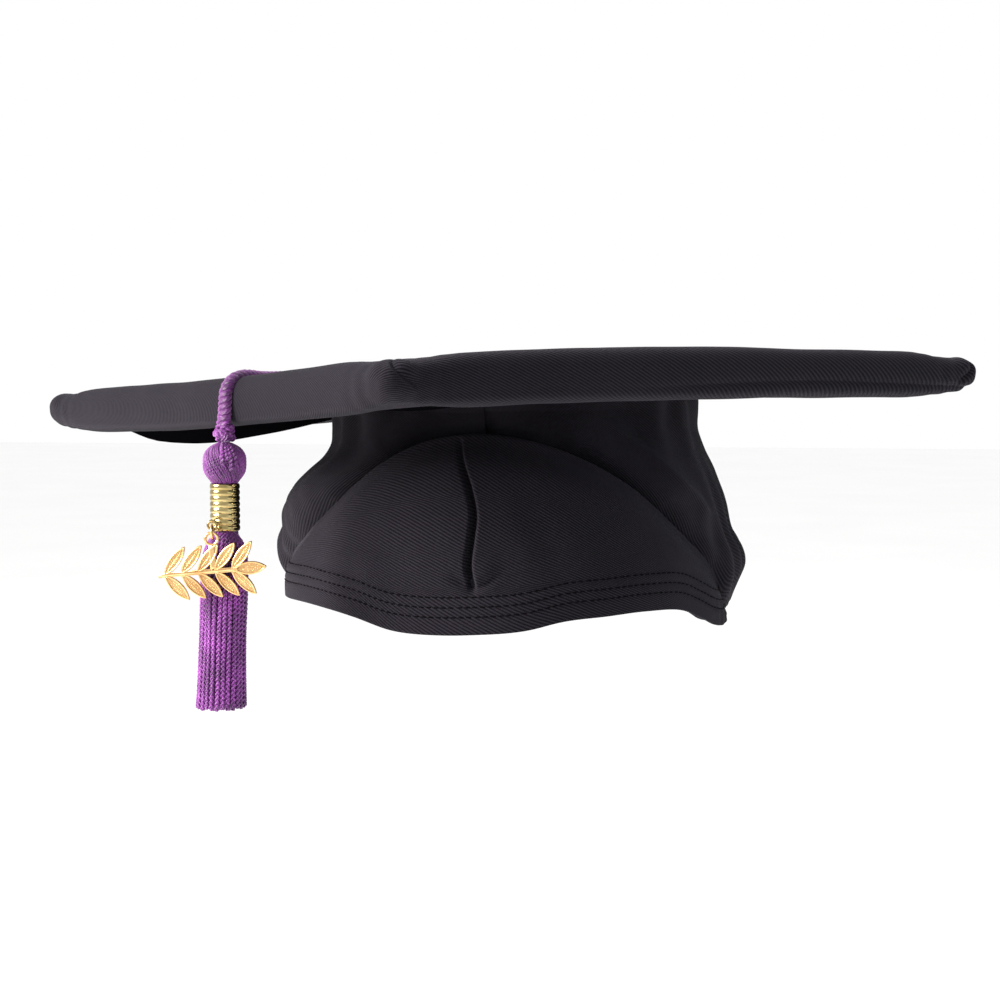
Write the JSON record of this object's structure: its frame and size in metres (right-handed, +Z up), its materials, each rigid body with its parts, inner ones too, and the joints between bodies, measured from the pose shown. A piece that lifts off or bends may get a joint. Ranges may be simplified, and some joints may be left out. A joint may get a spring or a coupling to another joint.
{
  "type": "graduation cap",
  "caption": "Square padded mortarboard on a soft cloth crown with an elastic back, a covered button and a lift-off tassel with a ribbed ferrule and a metal charm.",
  "frame": {"origin": "middle of the head opening, in the plane of the hem", "axes": "+Z up out of the head, -Y to the wearer's front, +X to the wearer's left"},
  "size_m": [0.3358, 0.3358, 0.1117],
  "materials": {
    "cap_cloth": "matte black twill",
    "lining": "matte lining cloth",
    "elastic": "ribbed elastic",
    "card": "grey-brown card",
    "wadding": "white wadding",
    "tassel_thread": "lustrous purple rayon thread",
    "ferrule_metal": "polished gold-coloured metal",
    "charm_metal": "gold-coloured metal with a stippled field",
    "button_metal": "plain"
  },
  "bodies": {
    "cap": {"board_core": "card", "pad_top": "wadding", "pad_bottom": "wadding", "top_cover": "cap_cloth", "bottom_cover": "cap_cloth", "button_cover": "cap_cloth", "button_shell": "button_metal", "button_back": "button_metal", "button_washer": "button_metal", "crown_front": "cap_cloth", "front_interlining": "lining", "crown_left": "cap_cloth", "crown_right": "cap_cloth", "crown_back": "cap_cloth", "crown_tip": "cap_cloth", "sweatband": "lining", "back_casing": "lining", "elastic_band": "elastic"},
    "cord": {"cord_loop": "tassel_thread", "cord_run": "tassel_thread"},
    "drop": {"cord_drop": "tassel_thread"},
    "tassel": {"tassel_knot": "tassel_thread", "tassel_head": "tassel_thread", "ferrule": "ferrule_metal", "skirt": "tassel_thread"},
    "ring": {"jump_ring": "charm_metal"},
    "charm": {"charm": "charm_metal"}
  },
  "joints": [
    {"name": "tassel_lift", "type": "slide", "parent": "cap", "child": "cord", "axis": [-0.2185, -0.2185, 0.9511], "range_m": [0, 0.03]},
    {"name": "tassel_swing", "type": "hinge", "parent": "cord", "child": "drop", "pos_m": [-0.0734, -0.1059, 0.0743], "axis": [-0.7071, 0.7071, 0], "range_deg": [0, 60]},
    {"name": "tassel_sway", "type": "hinge", "parent": "drop", "child": "tassel", "pos_m": [-0.074, -0.106, 0.0624], "axis": [-0.7071, -0.7071, 0], "range_deg": [-40, 40]},
    {"name": "ring_swing", "type": "hinge", "parent": "tassel", "child": "ring", "pos_m": [-0.07574, -0.11342, 0.034], "axis": [0.9848, 0.1736, 0], "range_deg": [-35, 0]},
    {"name": "charm_swing", "type": "hinge", "parent": "ring", "child": "charm", "pos_m": [-0.07536, -0.11559, 0.03245], "axis": [-0.1736, 0.9848, 0], "range_deg": [-30, 30]}
  ]
}
